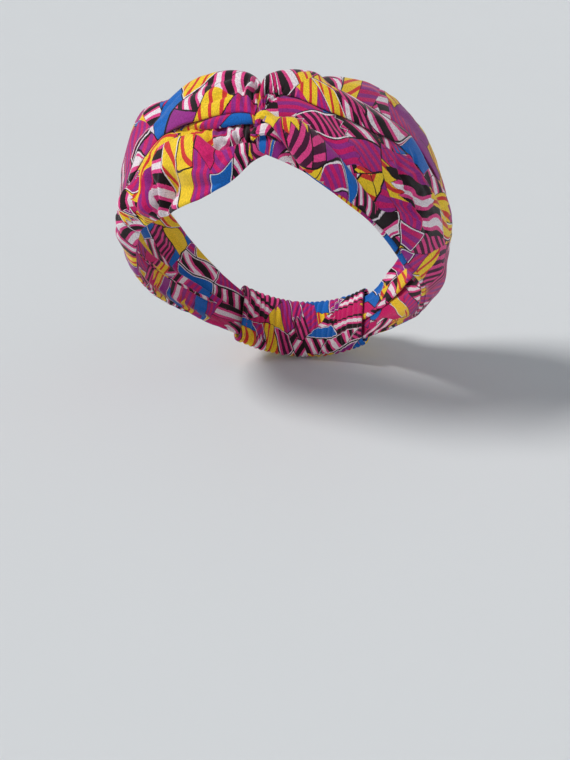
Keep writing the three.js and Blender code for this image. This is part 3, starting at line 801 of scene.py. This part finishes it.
def casing_grid(share, inset, gather_depth):
    """Rings round the casing, drawn in by the inset, with uneven gathers between the hems."""
    rng = np.random.default_rng(CASING_SEED)
    turn = np.linspace(0, 2 * math.pi, CASING_AROUND, endpoint=False)
    share, turn = np.meshgrid(share, turn, indexing="ij")
    wander = sum(
        rng.uniform(0.1, 0.3)
        * np.sin(share * waves * 2 * math.pi + turn * rng.integers(-2, 3) + rng.uniform(0, 6))
        for waves in WANDER_WAVES
    )
    gather = np.abs(np.sin(math.pi * (GATHERS * share + GATHER_STRAY * wander)))
    along, around = GATHER_UNEVEN_WAVES
    strength = 1 - GATHER_UNEVENNESS + GATHER_UNEVENNESS * np.sin(share * along + turn * around)
    to_mouth = np.minimum(share, 1 - share) * CASING_LENGTH
    fade = np.clip((to_mouth - 1) / MOUTH_HEM, LEAST_GATHER, 1)
    groove = STITCH_GROOVE * np.exp(-((to_mouth - STITCH_FROM_MOUTH) ** 2) / GROOVE_SPREAD)
    hem = (HEM_SWELL * (to_mouth < MOUTH_HEM) - groove) * (gather_depth == GATHER_DEPTH)
    swell = gather_depth * fade * (strength * (GATHER_RISE * gather - GATHER_SINK)) + hem - inset
    across = (CASING_HALF_WIDTH + swell) * squared(np.cos(turn), CASING_SQUARENESS)
    out = (CASING_HALF_DEPTH + swell) * squared(np.sin(turn), CASING_FULLNESS)
    return band_point(CASING_FROM + CASING_SPAN * share, across, CASING_MIDDLE_HEIGHT + out)


def nape_casing(material):
    """The flattened tube at the nape: gathered outside, open at both mouths, with rolled hems."""
    share = np.linspace(0, 1, CASING_STATIONS)
    to_mouth = np.minimum(share, 1 - share) * CASING_LENGTH
    roundness = np.sqrt(1 - np.clip(1 - to_mouth / MOUTH_ROUNDING, 0, 1) ** 2)
    bevel = (CASING_WALL / 2 * (1 - roundness))[:, None, None]
    outer = casing_grid(share, 0, GATHER_DEPTH)
    inner = casing_grid(share, CASING_WALL, GATHER_DEPTH * LINING_GATHER_SHARE)
    middle = (outer + inner) / 2
    reach = np.linalg.norm(outer - inner, axis=-1, keepdims=True)
    drawn_in = np.clip(bevel * 2 * MM / reach, 0, MOST_DRAWN_IN)
    outer = outer + (middle - outer) * drawn_in
    inner = inner + (middle - inner) * drawn_in
    rings, sides = outer.shape[:2]
    count = rings * sides
    outside = tube_faces(rings, sides)[:, [0, 3, 2, 1]]
    here = np.arange(sides)
    following = np.roll(here, -1)
    mouth = np.stack([here, following, following + count, here + count], -1)
    far_mouth = mouth[:, ::-1] + (rings - 1) * sides
    faces = np.concatenate([outside, outside[:, ::-1] + count, mouth, far_mouth])
    uvs, around = tube_coordinates(outer, CASING_PRINT)
    points = np.stack([outer, inner])
    return mesh_object("nape_casing_cloth", points, faces, with_lining(uvs), material, around)


STITCH_LENGTH = 2.3
STITCH_PITCH = 3.5
STITCH_RADIUS = 0.24
STITCH_ARCH = 0.8  # both in thread radii
STITCH_SUNK = 0.5
STITCH_TIP = 0.35  # share of the radius left at a stitch's ends
STITCH_SIDES = 6
STITCH_RINGS = 7


def hem_stitches(material):
    """The running stitches round both mouths of the casing, as one piece."""
    turn = np.linspace(0, 2 * math.pi, STITCH_SIDES, endpoint=False)
    step = np.linspace(0, 1, STITCH_RINGS)
    arch = np.sin(math.pi * step)
    radius = (STITCH_TIP + (1 - STITCH_TIP) * np.sqrt(np.clip(arch, 0, 1))) * STITCH_RADIUS * MM
    points, faces = [], []
    for share in (STITCH_FROM_MOUTH / CASING_LENGTH, 1 - STITCH_FROM_MOUTH / CASING_LENGTH):
        surface = casing_grid(np.array([share]), 0, GATHER_DEPTH)[0]
        outside = casing_grid(np.array([share]), -1, GATHER_DEPTH)[0]
        closed = np.concatenate([surface, surface[:1]])
        lifted = np.concatenate([outside, outside[:1]])
        way = travelled(closed, 0) / MM
        count = int(way[-1] / STITCH_PITCH)
        for k in range(count):
            at = k * way[-1] / count + STITCH_LENGTH * step
            line, above = (
                np.stack([np.interp(at, way, ring[:, axis]) for axis in range(3)], -1)
                for ring in (closed, lifted)
            )
            out = (above - line) / np.linalg.norm(above - line, axis=-1, keepdims=True)
            ahead = np.gradient(line, axis=0)
            side = np.cross(out, ahead / np.linalg.norm(ahead, axis=-1, keepdims=True))
            line = line + out * ((STITCH_ARCH * arch - STITCH_SUNK) * STITCH_RADIUS * MM)[:, None]
            rim = side[:, None] * np.cos(turn)[:, None] + out[:, None] * np.sin(turn)[:, None]
            faces.append(tube_faces(STITCH_RINGS, STITCH_SIDES) + len(points) * STITCH_RINGS * STITCH_SIDES)
            points.append((line[:, None] + rim * radius[:, None, None]).reshape(-1, 3))
    points = np.concatenate(points)
    return mesh_object("casing_stitches", points, np.concatenate(faces), points[:, :2] * 100, material)


# ---- materials ----

def srgb(r, g, b):
    """A colour given in 0 to 255, as linear light."""
    def linear(c):
        c /= 255
        return c / 12.92 if c <= 0.04045 else ((c + 0.055) / 1.055) ** 2.4
    return (linear(r), linear(g), linear(b), 1.0)


MAGENTA = srgb(206, 26, 104)
PINK = srgb(226, 66, 136)
PURPLE = srgb(150, 42, 136)
COBALT = srgb(18, 104, 192)
YELLOW = srgb(244, 204, 44)
RED = srgb(216, 54, 50)
BLACK = srgb(32, 20, 25)
WHITE = srgb(238, 226, 232)
DEEP_PLUM = srgb(70, 22, 54)
THREAD_DARK = srgb(150, 24, 88)
THREAD_LIGHT = srgb(206, 44, 120)
PALE_GREY = (0.70, 0.72, 0.74, 1)


class Nodes:
    """Short calls that build a new material's node tree."""

    def __init__(self, name):
        self.material = bpy.data.materials.new(name)
        self.material.use_nodes = True
        self.tree = self.material.node_tree
        self.tree.nodes.clear()

    def add(self, kind, inputs=None, **settings):
        node = self.tree.nodes.new("ShaderNode" + kind)
        for key, value in settings.items():
            setattr(node, key, value)
        for key, value in (inputs or {}).items():
            self.put(node.inputs[key], value)
        return node

    def put(self, socket, value):
        if isinstance(value, bpy.types.NodeSocket):
            self.tree.links.new(value, socket)
        else:
            socket.default_value = value

    def finish(self, inputs):
        """The material, with a surface that has these inputs."""
        shader = self.add("BsdfPrincipled", inputs)
        self.add("OutputMaterial", {"Surface": shader.outputs[0]})
        return self.material

    def math(self, operation, a, b=0.0, c=0.0):
        return self.add("Math", {0: a, 1: b, 2: c}, operation=operation).outputs[0]

    def plus(self, a, b):
        return self.math("ADD", a, b)

    def times(self, a, b):
        return self.math("MULTIPLY", a, b)

    def least(self, a, b):
        return self.math("MINIMUM", a, b)

    def below(self, value, limit):
        return self.math("LESS_THAN", value, limit)

    def whole(self, value):
        return self.math("FLOOR", value)

    def rest(self, value):
        return self.math("FRACT", value)

    def from_ends(self, value, length):
        """How far a value from 0 to 1 is from its nearer end, over a length."""
        return self.times(self.math("PINGPONG", value, 0.5), length)

    def band(self, value, low, high):
        """1 where the value is between low and high."""
        return self.times(self.math("GREATER_THAN", value, low), self.below(value, high))

    def vector(self, operation, a, b):
        return self.add("VectorMath", {0: a, 1: b}, operation=operation).outputs["Vector"]

    def scaled(self, vector, factor):
        return self.add("VectorMath", {0: vector, "Scale": factor}, operation="SCALE").outputs["Vector"]

    def turned(self, vector, angle):
        """The vector turned about Z by an angle in radians, a number or a socket."""
        inputs = {"Vector": vector, "Angle": angle}
        return self.add("VectorRotate", inputs, rotation_type="Z_AXIS").outputs["Vector"]

    def joined(self, *parts):
        return self.add("CombineXYZ", dict(enumerate(parts))).outputs[0]

    def axes(self, vector):
        return self.add("SeparateXYZ", {0: vector}).outputs

    def mix(self, factor, a, b, blend="MIX"):
        node = self.add("Mix", data_type="RGBA", blend_type=blend)
        for socket, value in (("Factor", factor), (6, a), (7, b)):
            self.put(node.inputs[socket], value)
        return node.outputs[2]

    def noise(self, vector, scale, detail, rough=0.5):
        inputs = {"Vector": vector, "Scale": scale, "Detail": detail, "Roughness": rough}
        return self.add("TexNoise", inputs, noise_dimensions="2D").outputs

    def wobbled(self, vector, scale, detail, amount):
        """The shift of a vector by noise, up to half the amount each way."""
        cloud = self.noise(vector, scale, detail)["Color"]
        return self.scaled(self.vector("SUBTRACT", cloud, (0.5, 0.5, 0.5)), amount)

    def random(self, vector):
        """Three even random numbers for a vector."""
        luck = self.add("TexWhiteNoise", {"Vector": vector}, noise_dimensions="3D")
        return self.add("SeparateColor", {0: luck.outputs["Color"]}).outputs

    def object_place(self):
        return self.add("TexCoord").outputs["Object"]

    def bump(self, height, strength, distance):
        inputs = {"Height": height, "Strength": strength, "Distance": distance}
        return self.add("Bump", inputs).outputs["Normal"]


# ---- the print: fields, each ruled into ribbons that are cut aslant into shards (in centimetres) ----

FIELD_SIZE = 6.5
FIELD_FLATNESS = 1.5
FIELD_TURN = 0.5
HEADINGS = 5
HEADING_STEP = math.radians(37)
RIBBON_WIDTH = 0.95
RIBBON_SHIFTS = 9
SHARD_LENGTH = 2.6
SHARD_SHIFTS = 7
SLANT_RANGE = 0.7
SLANT_LEAST = -0.25
TOOTH = 0.17
JAGGED_SHARE = 0.35
LEANS = 3
LEAN_STEP = 0.55
LEAN_LEAST = 0.45
INK_LINE = 0.036
INK_SHARE = 0.5
WHITE_LINE = 0.085
WHITE_SHARE = 0.16

# What fills a shard, by the upper limit of its luck: the ground, then a period and the stripes on
# it, as (from, to, colour) in shares of the period.
FILLS = [
    (0.27, PURPLE, 0.39, [(0.0, 0.5, MAGENTA)]),
    (0.43, YELLOW, 0.52, [(0.0, 0.32, RED)]),
    (0.74, BLACK, 0.84, [(0.0, 0.16, PINK), (0.16, 0.46, WHITE), (0.46, 0.62, PINK)]),
    (0.80, DEEP_PLUM, 0.36, [(0.0, 0.48, PINK)]),
    (0.90, COBALT, 1, []),
    (0.95, PURPLE, 1, []),
    (1.01, YELLOW, 1, []),
]
PLAIN_SHARE = 0.05  # of the shards are flat magenta

THREAD_PITCH = 0.05
SLUB_STRETCH = (3, 16, 1)
FUZZ_SHADE = 1.3
SLUB_SHADE = 0.3
# painted highlight and shade along the threads, as a share of the colour
PAINTED_THREAD_HIGHLIGHT = 0.05
LEAST_SHADE = 0.17
WEAVE_RELIEF = 0.35
FUZZ_RELIEF = 0.9


def striped(n, place, ground, period, bands):
    """Stripes across x of a place, over a ground."""
    if not bands:
        return ground
    phase = n.rest(n.math("DIVIDE", n.axes(place)[0], period))
    colour = ground
    for low, high, paint in bands:
        colour = n.mix(n.band(phase, low, high), colour, paint)
    return colour


def print_colour(n, cloth):
    """The print's colour at a place on the cloth."""
    # The ink's edges follow the threads a little, and its shapes bend gently.
    ragged = n.wobbled(cloth, scale=24, detail=2, amount=0.04)
    bend = n.wobbled(cloth, scale=0.28, detail=1, amount=1.3)
    place = n.vector("ADD", n.vector("ADD", cloth, ragged), bend)

    # Fields, each with its own direction.
    sizes = (1 / FIELD_SIZE, FIELD_FLATNESS / FIELD_SIZE, 1)
    cells = {"Vector": n.vector("MULTIPLY", n.turned(place, FIELD_TURN), sizes), "Scale": 1}
    fields = n.add("TexVoronoi", cells, voronoi_dimensions="2D")
    edges = n.add("TexVoronoi", cells, voronoi_dimensions="2D", feature="DISTANCE_TO_EDGE")
    field = n.add("SeparateColor", {0: fields.outputs["Color"]}).outputs
    heading = n.times(n.whole(n.times(field[0], HEADINGS)), HEADING_STEP)
    ruled = n.turned(place, heading)
    x, y, _ = n.axes(ruled)

    # Ribbons, and the slanted or jagged cuts across them.
    row_place = n.plus(n.math("DIVIDE", y, RIBBON_WIDTH), n.times(field[1], RIBBON_SHIFTS))
    row = n.whole(row_place)
    rise = n.rest(row_place)
    row_luck = n.random(n.joined(row, heading))
    slant = n.times(rise, n.math("MULTIPLY_ADD", row_luck[0], SLANT_RANGE, SLANT_LEAST))
    teeth = n.times(n.math("PINGPONG", rise, TOOTH), n.below(row_luck[1], JAGGED_SHARE))
    along = n.plus(n.math("DIVIDE", x, SHARD_LENGTH), n.times(row_luck[2], SHARD_SHIFTS))
    along = n.plus(along, n.plus(slant, teeth))
    shard = n.random(n.joined(row, n.whole(along), heading))
    from_cut = n.from_ends(n.rest(along), SHARD_LENGTH)
    from_field = n.times(edges.outputs["Distance"], FIELD_SIZE)
    border = n.least(n.least(n.from_ends(rise, RIBBON_WIDTH), from_cut), from_field)

    # What fills a shard, and its outline.
    lean = n.math("MULTIPLY_ADD", n.whole(n.times(shard[1], LEANS)), LEAN_STEP, LEAN_LEAST)
    lined = n.turned(ruled, lean)
    fill = MAGENTA
    last = PLAIN_SHARE
    for limit, ground, period, bands in FILLS:
        fill = n.mix(n.band(shard[0], last, limit), fill, striped(n, lined, ground, period, bands))
        last = limit
    for width, share, paint in ((WHITE_LINE, WHITE_SHARE, WHITE), (INK_LINE, INK_SHARE, BLACK)):
        fill = n.mix(n.times(n.below(border, width), n.below(shard[2], share)), fill, paint)
    return fill


def printed_cloth():
    """Plain-woven cloth with an all-over print of patches, ribbons and stripes."""
    n = Nodes("printed_cloth")
    cloth = n.add("UVMap", uv_map="cloth").outputs["UV"]
    fill = print_colour(n, cloth)

    # Woven grain: threads, slubs and a slightly faded, fuzzy face. The threads also paint a highlight on
    # their crowns and shade between them into the colour.
    warp, weft, _ = n.axes(n.scaled(cloth, 2 * math.pi / THREAD_PITCH))
    weave = n.times(n.math("SINE", warp), n.math("SINE", weft))
    fuzz = n.noise(cloth, scale=15, detail=3, rough=0.8)["Fac"]
    slub = n.noise(n.vector("MULTIPLY", cloth, SLUB_STRETCH), scale=1, detail=3, rough=0.6)["Fac"]
    grain = n.plus(n.times(fuzz, FUZZ_SHADE), n.times(slub, SLUB_SHADE))
    # the weave term here is painted thread highlight and shade; fuzz and slubs are the cloth's own tone
    shade = n.plus(n.plus(grain, LEAST_SHADE), n.times(weave, PAINTED_THREAD_HIGHLIGHT))
    tint = n.add("CombineColor", {0: shade, 1: shade, 2: shade}).outputs[0]
    relief = n.plus(n.times(weave, WEAVE_RELIEF), n.times(fuzz, FUZZ_RELIEF))
    return n.finish({
        "Base Color": n.mix(1.0, fill, tint, "MULTIPLY"),
        "Roughness": 0.88,
        "Specular IOR Level": 0.22,
        "Sheen Weight": 0.25,
        "Sheen Roughness": 0.45,
        "Normal": n.bump(relief, strength=0.35, distance=0.00018),
    })


def sewing_thread():
    """Twisted cotton thread in the print's magenta."""
    n = Nodes("sewing_thread")
    place = n.scaled(n.object_place(), 1 / MM)
    twist = n.add("TexWave", {"Vector": place, "Scale": 1.6, "Distortion": 1.0}).outputs["Fac"]
    return n.finish({
        "Base Color": n.mix(twist, THREAD_DARK, THREAD_LIGHT),
        "Roughness": 0.6,
        "Sheen Weight": 0.2,
        "Normal": n.bump(twist, strength=0.5, distance=0.00008),
    })


def matt_floor():
    """A matt surface with a very faint unevenness."""
    n = Nodes("pale_floor")
    cloud = n.add("TexNoise", {"Vector": n.object_place(), "Scale": 6.0}).outputs["Fac"]
    dim = tuple(0.985 * c for c in PALE_GREY[:3]) + (1.0,)
    return n.finish({
        "Base Color": n.mix(cloud, PALE_GREY, dim),
        "Roughness": 0.9,
        "Specular IOR Level": 0.2,
    })


# ---- camera, light and floor ----

CAMERA_DISTANCE = 0.52
CAMERA_AZIMUTH = 7
CAMERA_ELEVATION = 28.7
CAMERA_ROLL = -1.5
CAMERA_LENS = 47.4
AIM_BELOW = 0.0744  # the object stands in the upper part of the picture


def place_camera():
    data = bpy.data.cameras.new("camera")
    data.lens = CAMERA_LENS
    camera = bpy.data.objects.new("camera", data)
    heading = Matrix.Rotation(math.radians(CAMERA_AZIMUTH), 4, "Z")
    tilt = Matrix.Rotation(math.radians(90 - CAMERA_ELEVATION), 4, "X")
    roll = Matrix.Rotation(math.radians(CAMERA_ROLL), 4, "Z")
    away = Matrix.Translation((0, -AIM_BELOW, CAMERA_DISTANCE))
    camera.matrix_world = heading @ tilt @ roll @ away
    bpy.context.collection.objects.link(camera)
    bpy.context.scene.camera = camera


def soft_sun(name, source, softness, power, colour):
    """Light from a far, wide source, so that the floor is lit evenly; softness in degrees."""
    data = bpy.data.lights.new(name, "SUN")
    data.angle = math.radians(softness)
    data.energy = power
    data.color = colour
    light = bpy.data.objects.new(name, data)
    light.rotation_euler = (-Vector(source)).to_track_quat("-Z", "Y").to_euler()
    bpy.context.collection.objects.link(light)


def light_scene():
    soft_sun("key", (-0.72, -0.25, 0.85), softness=18, power=2.35, colour=(1.0, 0.985, 0.96))
    soft_sun("fill", (0.9, -0.8, 0.85), softness=60, power=0.25, colour=(0.94, 0.97, 1.0))
    world = bpy.data.worlds.new("studio")
    world.use_nodes = True
    background = world.node_tree.nodes["Background"]
    background.inputs["Color"].default_value = (0.80, 0.84, 0.88, 1)
    background.inputs["Strength"].default_value = 0.37
    bpy.context.scene.world = world
    bpy.context.scene.view_settings.view_transform = "Standard"


FLOOR_RADIUS = 6.0
SWEEP_RADIUS = 3.0
BACKDROP_HEIGHT = 4.5
BACKDROP_SIDES = 96
SWEEP_STEPS = 16
FLOOR_DROP = 0.0006


def lay_floor():
    """A pale round floor that sweeps up into a backdrop on every side."""
    low = CAD_BOX[0][2] - FLOOR_DROP
    turns = np.linspace(0, math.pi / 2, SWEEP_STEPS)
    farthest = FLOOR_RADIUS + SWEEP_RADIUS
    radii = [1, FLOOR_RADIUS / 2, *(FLOOR_RADIUS + SWEEP_RADIUS * np.sin(turns)), farthest]
    levels = [0, 0, *(SWEEP_RADIUS * (1 - np.cos(turns))), BACKDROP_HEIGHT]
    bearings = [2 * math.pi * k / BACKDROP_SIDES for k in range(BACKDROP_SIDES)]
    mesh = bmesh.new()
    centre = mesh.verts.new((0, 0, low))
    rings = [
        [mesh.verts.new((radius * math.cos(b), radius * math.sin(b), low + level)) for b in bearings]
        for radius, level in zip(radii, levels)
    ]
    for k in range(BACKDROP_SIDES):
        following = (k + 1) % BACKDROP_SIDES
        mesh.faces.new((centre, rings[0][k], rings[0][following]))
        for inner, outer in zip(rings, rings[1:]):
            mesh.faces.new((inner[k], outer[k], outer[following], inner[following]))
    data = bpy.data.meshes.new("floor")
    mesh.to_mesh(data)
    mesh.free()
    data.shade_smooth()
    data.materials.append(matt_floor())
    floor = bpy.data.objects.new("floor", data)
    bpy.context.collection.objects.link(floor)


# ---- dressing ----

def dress(node, *pieces):
    for piece in pieces:
        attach(piece, "root")
        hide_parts(node)


place_camera()
light_scene()
lay_floor()

cloth = printed_cloth()
right_front = cloth_sheet("right_front_strand", RIGHT_FRONT, RIGHT, (64, 38), cloth, seed=3)
right_back = cloth_sheet("right_back_strand", RIGHT_BACK, RIGHT, (4, 21), cloth, seed=5)
left_upper = cloth_sheet("left_upper_strand", LEFT_UPPER, LEFT, (71, 3), cloth, seed=8)
left_lower = cloth_sheet("left_lower_strand", LEFT_LOWER, LEFT, (7, 93), cloth, seed=11)
right_neck = bundle("right_knot_neck", RIGHT_NECK, "across", 9, (31, 17), cloth)
right_curl = bundle("right_knot_curl", RIGHT_CURL, "across", 7, (27, 5), cloth)
left_turn = bundle("left_knot_turn", LEFT_TURN, "height", 9, (37, 11), cloth)
casing = nape_casing(cloth)
stitches = hem_stitches(sewing_thread())

dress("right_loop", right_front, right_back, right_neck, right_curl)
dress("left_loop", left_upper, left_lower, left_turn)
dress("nape_casing", casing, stitches)
